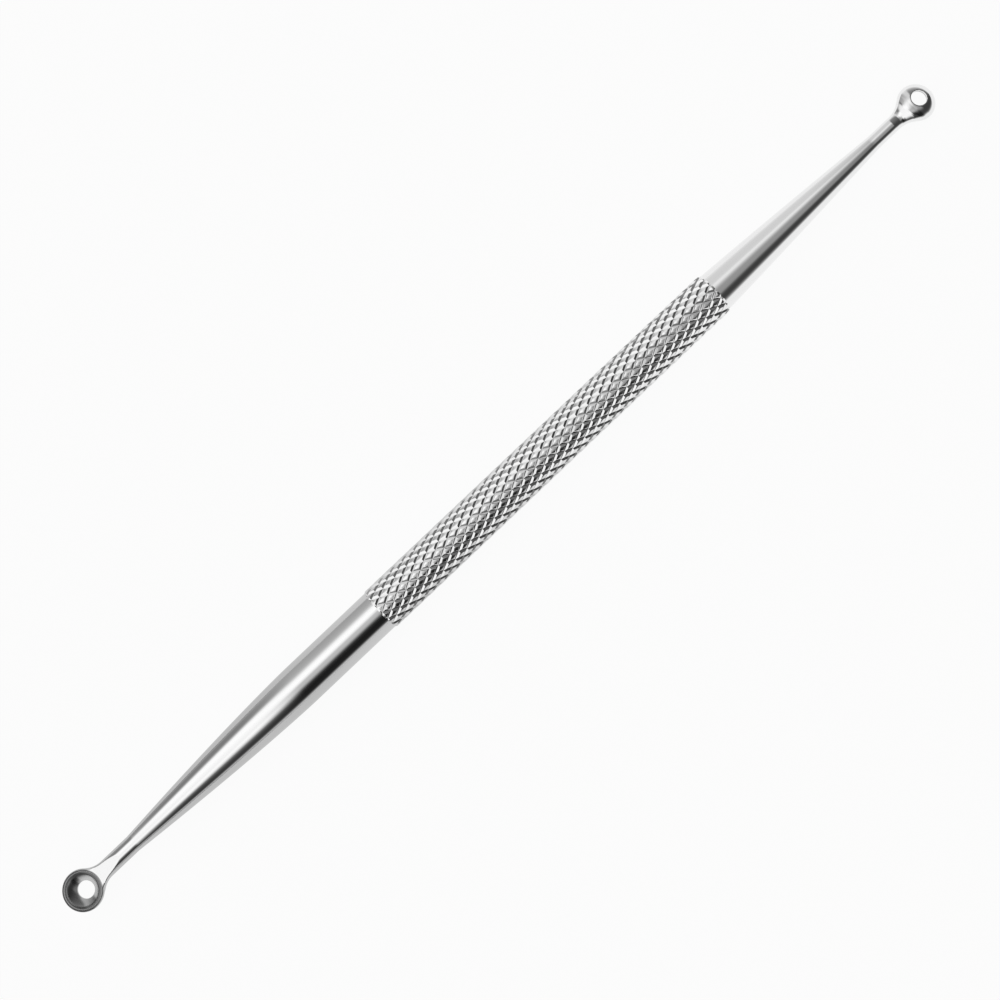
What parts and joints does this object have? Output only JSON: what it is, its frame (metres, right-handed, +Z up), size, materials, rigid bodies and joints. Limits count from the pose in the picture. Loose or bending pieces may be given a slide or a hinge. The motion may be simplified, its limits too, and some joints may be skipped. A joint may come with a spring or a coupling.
{
  "type": "comedone extractor",
  "caption": "Double-ended skin instrument: a knurled round steel grip tapers at both ends to a thin neck with a small pierced cup, the cups facing opposite ways.",
  "frame": {"origin": "on the surface that the instrument lies on, under the middle of its length, width and height", "axes": "+X along the instrument from the large cup to the small cup, +Z up, out of the large cup's mouth and out of the small cup's back"},
  "size_m": [0.145, 0.0058, 0.0058],
  "materials": {
    "polished_steel": "stainless steel polished to a mirror on the shanks, necks and cups, and broken up by the diamond knurl on the grip"
  },
  "bodies": {
    "root": {"extractor": "polished_steel"}
  },
  "joints": []
}
